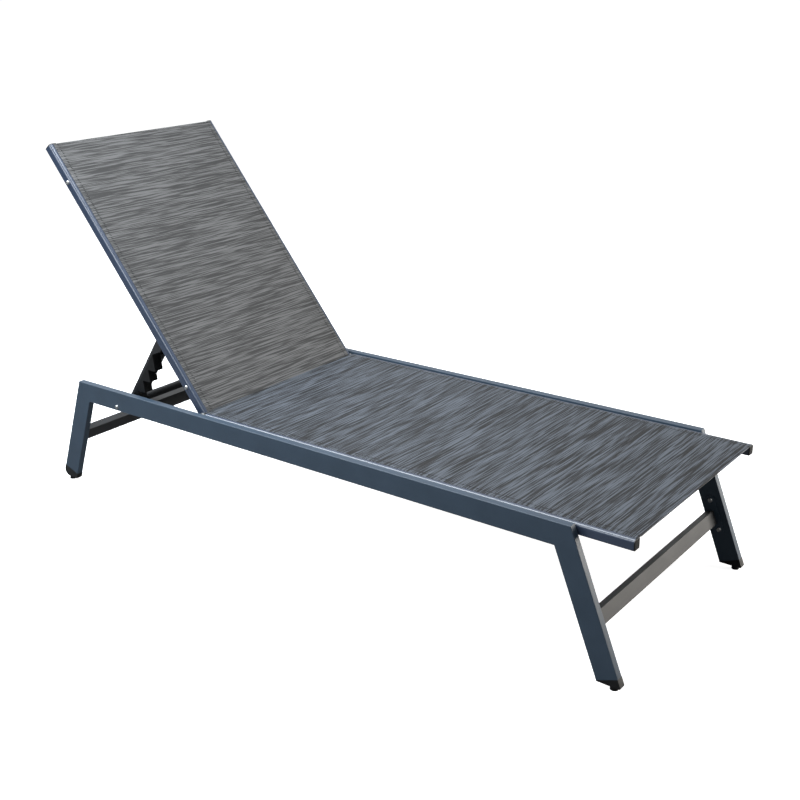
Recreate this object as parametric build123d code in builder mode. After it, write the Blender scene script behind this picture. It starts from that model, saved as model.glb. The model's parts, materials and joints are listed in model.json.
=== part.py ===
from build123d import *
import os
from math import asin, cos, degrees, radians, sin, tan

os.makedirs("parts", exist_ok=True)

# Adjustable sun lounger. X runs from the head end to the foot end, Z is up, Y = 0 is the middle.
# The origin is on the floor under the centre of the whole lounger. Lengths in millimetres.

# Angles that the shapes share
right_angle = 90

# Whole lounger
lounger_width = 610
side_length = 1442.4          # side rail, corner to corner along its top
head_height = 297.5           # top of the side rail above the floor at the head
foot_height = 319             # and at the foot
leg_splay = 21.25             # legs from square to the side rail

# Side frames: flat tube with mitred corners
tube_width = 50
tube_thickness = 17
tube_wall = 1.5
tube_corner = 1.5

# Leg caps: plug, wedge and round glide in one moulding
head_tube_lift = 22           # lowest corner of the head legs' tubes above the floor
foot_tube_lift = 9.5          # and of the foot legs' tubes
cap_lift = 8                  # underside of the wedge above the floor
head_cap_round = 16           # outer bottom corner of the head legs' caps
foot_cap_round = 3            # and of the foot legs' caps
cap_shank = 28
cap_clearance = 0.2
glide_diameter = 17
glide_pad = 3                 # wider foot of the glide
glide_neck_inset = 1.5
head_glide_share = 0.5        # across the wedge, from its outer corner, on the head legs
foot_glide_share = 0.34       # and on the foot legs

# Stretchers between the legs
stretcher_face = 32
stretcher_thickness = 20
stretcher_wall = 1.5
stretcher_setback = 26.5      # front of the stretcher behind the outer edge of the foot legs
head_stretcher_share = 0.54   # middle of the stretcher, down the leg's tube from its corner
foot_stretcher_share = 0.655
plate_length = 94
plate_width = 24
plate_thickness = 2.5
plate_bolt_spacing = 72
plate_rise = 5                # middle of the plate above the middle of the stretcher

# Extrusion that holds a sling: seat rails and back rails
rail_width = 20
rail_depth = 23
rail_wall = 1.6
rail_brow = 7.5               # large outer top radius
rail_corner = 1.5
groove_diameter = 5.2         # channel for the bead
groove_inset = 9.5            # middle of the channel from the rail's inner face
groove_depth = 5              # and from its top
slot_width = 2
bead_clearance = 0.3

# Seat
seat_gap = 4                  # seat rails inside the side rails
seat_drop = 2                 # seat rail top below the side rail top
seat_overhang = 120.5         # seat rails beyond the side rail's foot corner
cap_flange = 2.5
cap_edge = 1.2                # rounded edge of a rail's end cap
cap_plug = 22
sling_thickness = 1
sling_lead = 6.6              # the seat sling reaches this far ahead of its rails, up to the back sling
bead_margin = 2               # beads end this far inside their rails

# Cross tubes that carry the seat rails, and the bar under the racks
cross_tube = 25
cross_tube_wall = 1.5
cross_tube_head = 503         # middle of the tube nearest the head, along the side rail
cross_tube_setback = 60       # middle of the tube nearest the foot, ahead of the side rail's corner
rack_bar_middle = 200.4
rack_bar_drop = 30.5          # top of the bar below the top of the side rail
bracket_thickness = 3
bracket_reach = 72            # from the bar's foot face to the bracket's head end
bracket_height = 20
bracket_bolt_reach = 57       # bolt from the middle of the bar
bracket_bolt_drop = 39.8      # below the top of the side rail

# Backrest hinge
hinge_along = 426
hinge_plate_thickness = 4
hinge_plate_inset = 4         # outer face of the plate inside the seat rail's outer face
hinge_plate_tail = 45         # length inside the seat rail
hinge_plate_clearance = 0.2
hinge_gap = 2.5               # between the back rail's end and the seat rail
washer_diameter = 18

# Backrest
back_inset = 9.5              # back rails inside the seat rails' outer faces
back_angle = 51.3             # between backrest and seat
back_length = 771             # hinge axis to the top end of the back rails
back_start = 5                # rail tube starts here, the plug carries the hinge axis
plug_length = 40
spreader_face = 25
spreader_thickness = 15
spreader_wall = 1.5
spreader_end = 4              # solid end of a spreader, which the bolt enters
spreader_back = 3             # back of the spreader in front of the back of the rail
spreader_places = {"lower": 82, "upper": 668}

# Prop: two legs with toothed racks and a cross tube
prop_pivot = 227              # from the hinge axis along the back rail
prop_lean = 35.2              # prop leg from square to the seat, at this backrest position
prop_tube = 25
prop_wall = 1.5
prop_gap = 2.5                # between prop leg and back rail
prop_start = 9                # leg tube starts here, the plug carries the pivot
prop_length = 267.6
prop_plug_length = 30
prop_cap_flange = 2.5
prop_nose = 11.5
prop_cross_along = 254.2
prop_cross_diameter = 24
prop_cross_wall = 1.5

# Racks
tooth_count = 4
tooth_pitch = 39.6
tooth_reach = 42.2            # tip from the middle of the prop leg
tooth_ledge = 27
tooth_round = 3
rack_thickness = 25
rack_chamfer = 8
rack_tail_share = 0.5         # of a riser, below the lowest ledge
rack_gap = 3.4                # free height between the lowest ledge and the bar
rack_flange = 3.5
rack_flange_width = 22
rack_flange_length = 140
rack_screw_count = 3
rack_screw_pitch = 50

# Domed hexagon-socket bolts, nuts and washers
bolt_head = 11
bolt_head_height = 3.2
bolt_dome_taper = 24
bolt_shank = 6
bolt_socket = 4
bolt_socket_depth = 1.8
bolt_clearance = 0.1
pivot_bolt_shank = 8
pivot_clearance = 0.05
pivot_bolt_head = 14
pivot_engagement = 5          # prop bolt inside the back rail
nut_flats = 13
nut_height = 6.5
screw_head = 8
screw_head_height = 2.2
screw_shank = 4
stretcher_bolt_reach = 12
rail_screw_engagement = 8
running_gap = 0.1
rail_screw_place = 8          # from the seat rail's outer face

# One overrun serves all cuts and laps
overrun = 5

pitch = degrees(asin((foot_height - head_height) / side_length))
side_outer = lounger_width / 2
side_inner = side_outer - tube_thickness
seat_outer = side_inner - seat_gap
back_outer = seat_outer - back_inset
back_inner = back_outer - rail_width
prop_outer = back_inner - prop_gap
prop_inner = prop_outer - prop_tube
seat_start = hinge_along + rail_depth / 2 + hinge_gap
seat_bottom = -seat_drop - rail_depth
hinge_rise = -seat_drop - rail_depth / 2
seat_end = side_length + seat_overhang
seat_tip = seat_end + cap_flange
cross_tube_foot = side_length - cross_tube_setback
cross_tube_places = {
    "head": cross_tube_head,
    "middle": (cross_tube_head + cross_tube_foot) / 2,
    "foot": cross_tube_foot,
}

# The origin is midway between the rounded corner of the head legs' caps and the seat rails' foot ends.
head_turn = leg_splay - pitch
round_start = head_cap_round / tan(radians((right_angle - head_turn) / 2))
head_reach = (head_height - cap_lift) * tan(radians(head_turn)) - (round_start - head_cap_round)
foot_reach = seat_tip * cos(radians(pitch)) - seat_bottom * sin(radians(pitch))
deck_x = (head_reach - foot_reach) / 2


def deck_point(along, rise):
    """Side view of a point on the deck: along the side rail from its head corner, above its top."""
    turn = radians(pitch)
    return (
        deck_x + along * cos(turn) - rise * sin(turn),
        head_height + along * sin(turn) + rise * cos(turn),
    )


def back_point(along, front):
    """Side view of a point on the backrest: along its rail from the hinge, in front of the axis."""
    turn = radians(back_angle)
    return deck_point(
        hinge_along - along * cos(turn) + front * sin(turn),
        hinge_rise + along * sin(turn) + front * cos(turn),
    )


def prop_point(along, front):
    """Side view of a point on the prop: down its leg from the pivot, in front of the leg's middle."""
    turn = radians(prop_lean)
    lift = radians(back_angle)
    return deck_point(
        hinge_along - prop_pivot * cos(lift) - along * sin(turn) + front * cos(turn),
        hinge_rise + prop_pivot * sin(lift) - along * cos(turn) - front * sin(turn),
    )


def leg_turn(end):
    """Legs from upright, end -1 head or +1 foot."""
    return radians(leg_splay + end * pitch)


def leg_point(end, along, depth):
    """Side view of a point on a leg: down its outer edge, in from it."""
    corner_x, corner_z = deck_point(0 if end < 0 else side_length, 0)
    turn = leg_turn(end)
    return (
        corner_x + end * (along * sin(turn) - depth * cos(turn)),
        corner_z - along * cos(turn) - depth * sin(turn),
    )


def mitre_setback(width):
    """How far a mitre moves over the given width."""
    return width / tan(radians((right_angle + leg_splay) / 2))


def leg_length(end, lift):
    """Length of a leg's outer edge down to where the inner edge is at the given height."""
    corner = head_height if end < 0 else foot_height
    turn = leg_turn(end)
    return (corner - lift - tube_width * sin(turn)) / cos(turn)


def side_plane(y):
    """Side-view plane at y, seen from the right-hand side, with its normal towards -Y."""
    return Plane.XZ.offset(-y)


def side_shape(points, mode=Mode.ADD):
    """Face in the side view from its corners."""
    Polygon(*points, align=None, mode=mode)


def box_points(place, low, high):
    """Corners of a rectangle in one of the side-view frames."""
    return [
        place(low[0], low[1]),
        place(high[0], low[1]),
        place(high[0], high[1]),
        place(low[0], high[1]),
    ]


def mirrored(piece):
    """The left-hand piece from the right-hand one."""
    with BuildPart() as twin:
        mirror(piece.part, about=Plane.XZ)
    return twin


def save(piece, name):
    """Label a piece and write it."""
    piece.part.label = name
    export_step(piece.part, f"parts/{name}.step")


def save_pair(piece, name):
    """Write a right-hand piece and its mirrored twin."""
    save(piece, f"{name}_right")
    save(mirrored(piece), f"{name}_left")


def facing(point, y, normal):
    """Plane at a side-view point and y, with the given normal in the side view."""
    return Plane(origin=(point[0], y, point[1]), x_dir=(0, 1, 0), z_dir=(normal[0], 0, normal[1]))


def towards(first, second):
    """Unit direction from one side-view point to another."""
    step = Vector(second[0] - first[0], second[1] - first[1]).normalized()
    return (step.X, step.Y)


def domed_bolt(seat, head, height, shank, reach):
    """Bolt whose head sits on the plane and whose shank goes in behind it."""
    with BuildSketch(seat) as base:
        Circle(head / 2)
    extrude(base.sketch, amount=height, taper=bolt_dome_taper)
    with BuildSketch(seat.offset(height)) as socket:
        RegularPolygon(bolt_socket / 2, 6, major_radius=False)
    extrude(socket.sketch, amount=-bolt_socket_depth, mode=Mode.SUBTRACT)
    with BuildSketch(seat) as stem:
        Circle(shank / 2)
    extrude(stem.sketch, amount=-reach)


def cross_bore(y, point, diameter, length):
    """Round hole along Y through a side-view point, from y towards -Y."""
    with BuildSketch(side_plane(y)) as bore:
        with Locations(point):
            Circle(diameter / 2)
    extrude(bore.sketch, amount=length, mode=Mode.SUBTRACT)


# Stretcher bolts, above and below each stretcher, in side-view places
def stretcher_bolt_points(end, along):
    """The two bolt places on a leg."""
    depth = stretcher_setback
    half = plate_bolt_spacing / 2
    middle = along - plate_rise
    return [leg_point(end, middle - half, depth), leg_point(end, middle + half, depth)]


tube_lifts = {-1: head_tube_lift, 1: foot_tube_lift}
stretcher_places = {
    -1: leg_length(-1, head_tube_lift) * head_stretcher_share,
    1: leg_length(1, foot_tube_lift) * foot_stretcher_share,
}
end_names = {-1: "head", 1: "foot"}
bolt_hole = bolt_shank + 2 * bolt_clearance
pivot_hole = pivot_bolt_shank + 2 * pivot_clearance
bracket_bolt = deck_point(rack_bar_middle - bracket_bolt_reach, -bracket_bolt_drop)

# Side rails: flat tubes between the two mitres
mitre = mitre_setback(tube_width)
inner_mitre = mitre_setback(tube_wall)
deep_mitre = mitre_setback(tube_width - tube_wall)
deck_axis = Axis((0, 0, 0), (cos(radians(pitch)), 0, sin(radians(pitch))))
with BuildPart() as side_rail:
    with BuildSketch(side_plane(-side_inner)):
        side_shape([
            deck_point(0, 0),
            deck_point(side_length, 0),
            deck_point(side_length - mitre, -tube_width),
            deck_point(mitre, -tube_width),
        ])
    extrude(amount=tube_thickness)
    fillet(side_rail.edges().filter_by(deck_axis), tube_corner)
    with BuildSketch(side_plane(-side_inner - tube_wall)):
        side_shape([
            deck_point(inner_mitre, -tube_wall),
            deck_point(side_length - inner_mitre, -tube_wall),
            deck_point(side_length - deep_mitre, tube_wall - tube_width),
            deck_point(deep_mitre, tube_wall - tube_width),
        ])
    extrude(amount=tube_thickness - 2 * tube_wall, mode=Mode.SUBTRACT)
    cross_bore(-side_inner, bracket_bolt, bolt_hole, tube_thickness)
save_pair(side_rail, "side_rail")

# Legs and their moulded caps
cap_rounds = {-1: head_cap_round, 1: foot_cap_round}
glide_shares = {-1: head_glide_share, 1: foot_glide_share}
for end, end_name in end_names.items():
    length = leg_length(end, tube_lifts[end])
    outer_foot = leg_length(end, cap_lift) + tube_width * tan(leg_turn(end))
    inner_foot = leg_length(end, cap_lift)
    leg_axis = Axis((0, 0, 0), (end * sin(leg_turn(end)), 0, -cos(leg_turn(end))))

    with BuildPart() as leg:
        with BuildSketch(side_plane(-side_inner)):
            side_shape([
                leg_point(end, 0, 0),
                leg_point(end, mitre, tube_width),
                leg_point(end, length, tube_width),
                leg_point(end, length, 0),
            ])
        extrude(amount=tube_thickness)
        fillet(leg.edges().filter_by(leg_axis), tube_corner)
        with BuildSketch(side_plane(-side_inner - tube_wall)):
            side_shape([
                leg_point(end, inner_mitre, tube_wall),
                leg_point(end, deep_mitre, tube_width - tube_wall),
                leg_point(end, length + overrun, tube_width - tube_wall),
                leg_point(end, length + overrun, tube_wall),
            ])
        extrude(amount=tube_thickness - 2 * tube_wall, mode=Mode.SUBTRACT)
        for place in stretcher_bolt_points(end, stretcher_places[end]):
            cross_bore(overrun - side_inner, place, bolt_hole, tube_wall + 2 * overrun)
    save_pair(leg, f"{end_name}_leg")

    plug_inset = tube_wall + cap_clearance
    with BuildPart() as cap:
        with BuildSketch(side_plane(-side_inner)):
            with BuildLine():
                FilletPolyline(
                    leg_point(end, length, 0),
                    leg_point(end, length, tube_width),
                    leg_point(end, inner_foot, tube_width),
                    leg_point(end, outer_foot, 0),
                    radius=[0, 0, 0, cap_rounds[end]],
                    close=True,
                )
            make_face()
        extrude(amount=tube_thickness)
        with BuildSketch(side_plane(-side_inner - plug_inset)):
            side_shape([
                leg_point(end, length - cap_shank, plug_inset),
                leg_point(end, length - cap_shank, tube_width - plug_inset),
                leg_point(end, length, tube_width - plug_inset),
                leg_point(end, length, plug_inset),
            ])
        extrude(amount=tube_thickness - 2 * plug_inset)
        outer_x = leg_point(end, outer_foot, 0)[0]
        inner_x = leg_point(end, inner_foot, tube_width)[0]
        glide_x = outer_x + (inner_x - outer_x) * glide_shares[end]
        glide_y = -(side_outer + side_inner) / 2
        with BuildSketch(Plane((glide_x, glide_y, 0))):
            Circle(glide_diameter / 2)
        extrude(amount=glide_pad)
        with BuildSketch(Plane((glide_x, glide_y, glide_pad))):
            Circle(glide_diameter / 2 - glide_neck_inset)
        extrude(amount=cap_lift - glide_pad + overrun)
    save_pair(cap, f"{end_name}_leg_cap")

# Stretchers between the legs
half_stretcher = side_inner - plate_thickness
stretcher_back = stretcher_setback + stretcher_thickness
hollow_face = stretcher_face / 2 - stretcher_wall
for end, end_name in end_names.items():
    middle = stretcher_places[end]
    with BuildPart() as stretcher:
        with BuildSketch(side_plane(half_stretcher)):
            side_shape([
                leg_point(end, middle - stretcher_face / 2, stretcher_setback),
                leg_point(end, middle + stretcher_face / 2, stretcher_setback),
                leg_point(end, middle + stretcher_face / 2, stretcher_back),
                leg_point(end, middle - stretcher_face / 2, stretcher_back),
            ])
            side_shape([
                leg_point(end, middle - hollow_face, stretcher_setback + stretcher_wall),
                leg_point(end, middle + hollow_face, stretcher_setback + stretcher_wall),
                leg_point(end, middle + hollow_face, stretcher_back - stretcher_wall),
                leg_point(end, middle - hollow_face, stretcher_back - stretcher_wall),
            ], Mode.SUBTRACT)
        extrude(amount=2 * half_stretcher)
    save(stretcher, f"{end_name}_stretcher")

# Plates at the ends of the stretchers, lying on the legs' inner faces, and their bolts
with BuildPart() as stretcher_plates:
    for end in end_names:
        upright = right_angle + degrees(leg_turn(end)) * end
        bolt_middle = stretcher_places[end] - plate_rise
        for face in (-half_stretcher, side_inner):
            with BuildSketch(side_plane(face)):
                with Locations(leg_point(end, bolt_middle, stretcher_setback)):
                    SlotOverall(plate_length, plate_width, rotation=upright)
                with Locations(*stretcher_bolt_points(end, stretcher_places[end])):
                    Circle(bolt_hole / 2, mode=Mode.SUBTRACT)
            extrude(amount=plate_thickness)
save(stretcher_plates, "stretcher_plates")

with BuildPart() as stretcher_bolts:
    for end in end_names:
        for place in stretcher_bolt_points(end, stretcher_places[end]):
            for side in (-1, 1):
                seat = Plane(
                    origin=(place[0], side * half_stretcher, place[1]),
                    x_dir=(1, 0, 0),
                    z_dir=(0, -side, 0),
                )
                domed_bolt(seat, bolt_head, bolt_head_height, bolt_shank, stretcher_bolt_reach)
save(stretcher_bolts, "stretcher_bolts")

# Section of the sling extrusion: outer top corner at the origin, x towards the sling, y up
channel = rail_width - groove_inset
boss = groove_diameter / 2 + rail_wall
bead_radius = groove_diameter / 2 - bead_clearance
brow_radii = [rail_brow, rail_corner, rail_corner, rail_corner]
with BuildSketch() as rail_outline:
    with BuildLine():
        FilletPolyline(
            (0, 0),
            (rail_width, 0),
            (rail_width, -rail_depth),
            (0, -rail_depth),
            radius=brow_radii,
            close=True,
        )
    make_face()
with BuildSketch() as rail_chamber:
    with BuildLine():
        FilletPolyline(
            (rail_wall, -rail_wall),
            (rail_width - rail_wall, -rail_wall),
            (rail_width - rail_wall, rail_wall - rail_depth),
            (rail_wall, rail_wall - rail_depth),
            radius=[rail_brow - rail_wall, 0, 0, 0],
            close=True,
        )
    make_face()
    with Locations((channel, -groove_depth)):
        Circle(boss, mode=Mode.SUBTRACT)
    Polygon(
        (channel - boss, 0),
        (channel + boss, 0),
        (channel + boss, -groove_depth),
        (channel - boss, -groove_depth),
        align=None,
        mode=Mode.SUBTRACT,
    )
with BuildSketch() as rail_section:
    add(rail_outline.sketch)
    add(rail_chamber.sketch, mode=Mode.SUBTRACT)
    with Locations((channel, -groove_depth)):
        Circle(groove_diameter / 2, mode=Mode.SUBTRACT)
    Polygon(
        (channel - slot_width / 2, overrun),
        (channel + slot_width / 2, overrun),
        (channel + slot_width / 2, -groove_depth),
        (channel - slot_width / 2, -groove_depth),
        align=None,
        mode=Mode.SUBTRACT,
    )
with BuildSketch() as plug_section:
    offset(rail_chamber.sketch, amount=-cap_clearance, kind=Kind.INTERSECTION)
with BuildSketch() as bead_section:
    with Locations((channel, -groove_depth)):
        Circle(bead_radius)
    Polygon(
        (channel - sling_thickness / 2, 0),
        (channel + sling_thickness / 2, 0),
        (channel + sling_thickness / 2, -groove_depth),
        (channel - sling_thickness / 2, -groove_depth),
        align=None,
    )


def run_plane(start, end, y):
    """Plane across a rail at its start, looking along the rail, with the rail's outer face at y."""
    return Plane(
        origin=(start[0], y, start[1]),
        x_dir=(0, 1, 0),
        z_dir=(end[0] - start[0], 0, end[1] - start[1]),
    )


def run(section, start, end, y):
    """Extrude a section between two side-view points."""
    with BuildSketch(run_plane(start, end, y)) as profile:
        add(section.sketch)
    extrude(profile.sketch, amount=Vector(end[0] - start[0], end[1] - start[1]).length)


# Seat rails, their end caps and the beads of the seat sling
seat_head = deck_point(seat_start, -seat_drop)
seat_foot = deck_point(seat_end, -seat_drop)
screw_hole = screw_shank + 2 * bolt_clearance
screw_y = seat_outer - rail_screw_place
deck_up = towards(deck_point(0, 0), deck_point(0, 1))
with BuildPart() as seat_rail:
    run(rail_section, seat_head, seat_foot, -seat_outer)
    for place in cross_tube_places.values():
        with BuildSketch(facing(deck_point(place, seat_bottom), -screw_y, deck_up)):
            Circle(screw_hole / 2)
        extrude(amount=rail_wall + overrun, both=True, mode=Mode.SUBTRACT)
save_pair(seat_rail, "seat_rail")

with BuildPart() as seat_rail_cap:
    run(rail_outline, seat_foot, deck_point(seat_tip, -seat_drop), -seat_outer)
    fillet(seat_rail_cap.faces().sort_by(deck_axis)[-1].edges(), cap_edge)
    run(plug_section, deck_point(seat_end - cap_plug, -seat_drop), seat_foot, -seat_outer)
save_pair(seat_rail_cap, "seat_rail_cap")

seat_bead_head = deck_point(seat_start + bead_margin, -seat_drop)
seat_bead_foot = deck_point(seat_end - bead_margin, -seat_drop)
with BuildPart() as seat_bead:
    run(bead_section, seat_bead_head, seat_bead_foot, -seat_outer)
save_pair(seat_bead, "seat_bead")

seat_sling_half = seat_outer - channel + sling_thickness / 2
with BuildPart() as seat_sling:
    with BuildSketch(side_plane(seat_sling_half)):
        side_shape(box_points(
            deck_point,
            (seat_start - sling_lead, -seat_drop),
            (seat_tip, sling_thickness - seat_drop),
        ))
    extrude(amount=2 * seat_sling_half)
save(seat_sling, "seat_sling")

# Cross tubes under the seat rails, welded between the side rails, and the screws up into the rails
for name, place in cross_tube_places.items():
    with BuildPart() as cross:
        with BuildSketch(side_plane(side_inner)):
            side_shape(box_points(
                deck_point,
                (place - cross_tube / 2, seat_bottom - cross_tube),
                (place + cross_tube / 2, seat_bottom),
            ))
            side_shape(box_points(
                deck_point,
                (place - cross_tube / 2 + cross_tube_wall, seat_bottom - cross_tube + cross_tube_wall),
                (place + cross_tube / 2 - cross_tube_wall, seat_bottom - cross_tube_wall),
            ), Mode.SUBTRACT)
        extrude(amount=2 * side_inner)
        for side in (-1, 1):
            with BuildSketch(facing(deck_point(place, seat_bottom), side * screw_y, deck_up)):
                Circle(screw_hole / 2)
            extrude(amount=-cross_tube - overrun, mode=Mode.SUBTRACT)
    save(cross, f"seat_cross_tube_{name}")

with BuildPart() as seat_rail_screws:
    for place in cross_tube_places.values():
        for side in (-1, 1):
            under = deck_point(place, seat_bottom - cross_tube)
            seat = facing(under, side * screw_y, (-deck_up[0], -deck_up[1]))
            reach = cross_tube + rail_screw_engagement
            domed_bolt(seat, screw_head, screw_head_height, screw_shank, reach)
save(seat_rail_screws, "seat_rail_screws")

# Bar that the racks hook on, the brackets at its ends and their bolts through the side rails
bar_half = side_inner - bracket_thickness
with BuildPart() as rack_bar:
    with BuildSketch(side_plane(bar_half)):
        side_shape(box_points(
            deck_point,
            (rack_bar_middle - cross_tube / 2, -rack_bar_drop - cross_tube),
            (rack_bar_middle + cross_tube / 2, -rack_bar_drop),
        ))
        side_shape(box_points(
            deck_point,
            (
                rack_bar_middle - cross_tube / 2 + cross_tube_wall,
                -rack_bar_drop - cross_tube + cross_tube_wall,
            ),
            (rack_bar_middle + cross_tube / 2 - cross_tube_wall, -rack_bar_drop - cross_tube_wall),
        ), Mode.SUBTRACT)
    extrude(amount=2 * bar_half)
save(rack_bar, "rack_bar")

bar_foot = rack_bar_middle + cross_tube / 2
with BuildPart() as rack_bar_bracket:
    with BuildSketch(side_plane(-bar_half)):
        side_shape(box_points(
            deck_point,
            (bar_foot - bracket_reach, -bracket_bolt_drop - bracket_height / 2),
            (bar_foot, -bracket_bolt_drop + bracket_height / 2),
        ))
        with Locations(bracket_bolt):
            Circle(bolt_hole / 2, mode=Mode.SUBTRACT)
    extrude(amount=bracket_thickness)
save_pair(rack_bar_bracket, "rack_bar_bracket")

with BuildPart() as rack_bar_bolts:
    for side in (-1, 1):
        seat = Plane(
            origin=(bracket_bolt[0], side * side_outer, bracket_bolt[1]),
            x_dir=(1, 0, 0),
            z_dir=(0, side, 0),
        )
        domed_bolt(seat, bolt_head, bolt_head_height, bolt_shank, tube_thickness + bracket_thickness)
save(rack_bar_bolts, "rack_bar_bolts")

# Hinge plates held in the seat rails, with the bolts, washers and nuts of the hinge
hinge = deck_point(hinge_along, hinge_rise)
plate_outer = seat_outer - hinge_plate_inset
plate_inner = plate_outer - hinge_plate_thickness
plate_half = rail_depth / 2 - rail_wall - hinge_plate_clearance
plate_top = -seat_drop - groove_depth - boss - hinge_plate_clearance
with BuildPart() as hinge_plate:
    with BuildSketch(side_plane(-plate_inner)):
        side_shape(box_points(
            deck_point,
            (hinge_along, hinge_rise - plate_half),
            (seat_start + hinge_plate_tail, plate_top),
        ))
        with Locations(hinge):
            Circle(plate_half)
            Circle(pivot_hole / 2, mode=Mode.SUBTRACT)
    extrude(amount=hinge_plate_thickness)
save_pair(hinge_plate, "hinge_plate")

nut_seat = back_inner - running_gap
with BuildPart() as hinge_bolts:
    for side in (-1, 1):
        seat = Plane(origin=(hinge[0], side * plate_outer, hinge[1]), x_dir=(1, 0, 0), z_dir=(0, side, 0))
        reach = plate_outer - nut_seat + nut_height
        domed_bolt(seat, pivot_bolt_head, bolt_head_height, pivot_bolt_shank, reach)
save(hinge_bolts, "hinge_bolts")

with BuildPart() as hinge_washers:
    for face in (-back_outer - running_gap, plate_inner):
        with BuildSketch(side_plane(face)):
            with Locations(hinge):
                Circle(washer_diameter / 2)
                Circle(pivot_hole / 2, mode=Mode.SUBTRACT)
        extrude(amount=plate_inner - back_outer - running_gap)
save(hinge_washers, "hinge_washers")

with BuildPart() as hinge_nuts:
    for face in (-nut_seat + nut_height, nut_seat):
        with BuildSketch(side_plane(face)):
            with Locations(hinge):
                RegularPolygon(nut_flats / 2, 6, major_radius=False)
                Circle(pivot_bolt_shank / 2, mode=Mode.SUBTRACT)
        extrude(amount=nut_height)
save(hinge_nuts, "hinge_nuts")

# Back rails, from the top end down to the hinge, with their caps, hinge plugs and beads
front = rail_depth / 2
back_top = back_point(back_length, front)
back_foot = back_point(back_start, front)
spreader_middle = spreader_thickness / 2 + spreader_back - front
pivot = back_point(prop_pivot, 0)
back_up = towards(back_foot, back_top)
back_axis = Axis((0, 0, 0), (back_up[0], 0, back_up[1]))
with BuildPart() as back_rail:
    run(rail_section, back_top, back_foot, -back_outer)
    for place in spreader_places.values():
        cross_bore(-back_inner + overrun, back_point(place, spreader_middle), bolt_hole, rail_width + 2 * overrun)
    cross_bore(-back_inner + overrun, pivot, pivot_hole, overrun + pivot_engagement)
save_pair(back_rail, "back_rail")

with BuildPart() as back_rail_cap:
    run(rail_outline, back_point(back_length + cap_flange, front), back_top, -back_outer)
    fillet(back_rail_cap.faces().sort_by(back_axis)[-1].edges(), cap_edge)
    run(plug_section, back_top, back_point(back_length - cap_plug, front), -back_outer)
save_pair(back_rail_cap, "back_rail_cap")

with BuildPart() as hinge_plug:
    run(rail_outline, back_foot, back_point(0, front), -back_outer)
    with BuildSketch(side_plane(-back_inner)):
        with Locations(hinge):
            Circle(front)
        side_shape([
            back_point(back_start, front),
            back_point(back_start, -front),
            back_point(back_start + front, -front),
            back_point(back_start + front, front),
        ], Mode.SUBTRACT)
    extrude(amount=rail_width)
    run(plug_section, back_point(back_start + plug_length, front), back_foot, -back_outer)
    cross_bore(-back_inner, hinge, pivot_hole, rail_width)
save_pair(hinge_plug, "hinge_plug")

back_bead_top = back_point(back_length - bead_margin, front)
back_bead_foot = back_point(back_start + bead_margin, front)
with BuildPart() as back_bead:
    run(bead_section, back_bead_top, back_bead_foot, -back_outer)
save_pair(back_bead, "back_bead")

back_sling_half = back_outer - channel + sling_thickness / 2
with BuildPart() as back_sling:
    with BuildSketch(side_plane(back_sling_half)):
        side_shape(box_points(
            back_point,
            (back_start, front),
            (back_length, front + sling_thickness),
        ))
    extrude(amount=2 * back_sling_half)
save(back_sling, "back_sling")

# Spreaders between the back rails, closed at their ends, and their bolts
for name, place in spreader_places.items():
    half_face = spreader_face / 2
    low_front = spreader_back - front
    high_front = spreader_back - front + spreader_thickness
    with BuildPart() as spreader:
        with BuildSketch(side_plane(back_inner)):
            side_shape(box_points(
                back_point, (place - half_face, low_front), (place + half_face, high_front),
            ))
        extrude(amount=2 * back_inner)
        with BuildSketch(side_plane(back_inner - spreader_end)):
            side_shape(box_points(
                back_point,
                (place - half_face + spreader_wall, low_front + spreader_wall),
                (place + half_face - spreader_wall, high_front - spreader_wall),
            ))
        extrude(amount=2 * (back_inner - spreader_end), mode=Mode.SUBTRACT)
        cross_bore(back_inner, back_point(place, spreader_middle), bolt_hole, 2 * back_inner)
    save(spreader, f"{name}_spreader")

with BuildPart() as spreader_bolts:
    for place in spreader_places.values():
        spot = back_point(place, spreader_middle)
        for side in (-1, 1):
            seat = Plane(origin=(spot[0], side * back_outer, spot[1]), x_dir=(1, 0, 0), z_dir=(0, side, 0))
            reach = rail_width + spreader_end + rail_screw_engagement
            domed_bolt(seat, bolt_head, bolt_head_height, bolt_shank, reach)
save(spreader_bolts, "spreader_bolts")

# Prop legs with their eyed plugs at the top and caps at the bottom
half_tube = prop_tube / 2
prop_axis_y = (prop_outer + prop_inner) / 2
with BuildPart() as prop_leg:
    with BuildSketch(side_plane(-prop_inner)):
        side_shape(box_points(prop_point, (prop_start, -half_tube), (prop_length, half_tube)))
    extrude(amount=prop_tube)
    with BuildSketch(side_plane(-prop_inner - prop_wall)):
        side_shape(box_points(
            prop_point,
            (prop_start - overrun, prop_wall - half_tube),
            (prop_length + overrun, half_tube - prop_wall),
        ))
    extrude(amount=prop_tube - 2 * prop_wall, mode=Mode.SUBTRACT)
save_pair(prop_leg, "prop_leg")

plug_half = half_tube - prop_wall - cap_clearance
with BuildPart() as prop_plug:
    with BuildSketch(side_plane(-prop_inner)):
        with Locations(pivot):
            Circle(prop_nose)
        side_shape(box_points(prop_point, (0, -prop_nose), (prop_start, prop_nose)))
        side_shape(box_points(
            prop_point, (prop_start, -prop_nose), (prop_start + prop_nose, prop_nose),
        ), Mode.SUBTRACT)
    extrude(amount=prop_tube)
    with BuildSketch(side_plane(plug_half - prop_axis_y)):
        side_shape(box_points(
            prop_point, (prop_start - prop_wall, -plug_half), (prop_start + prop_plug_length, plug_half),
        ))
    extrude(amount=2 * plug_half)
    cross_bore(-prop_inner, pivot, pivot_hole, prop_tube)
save_pair(prop_plug, "prop_plug")

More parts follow.
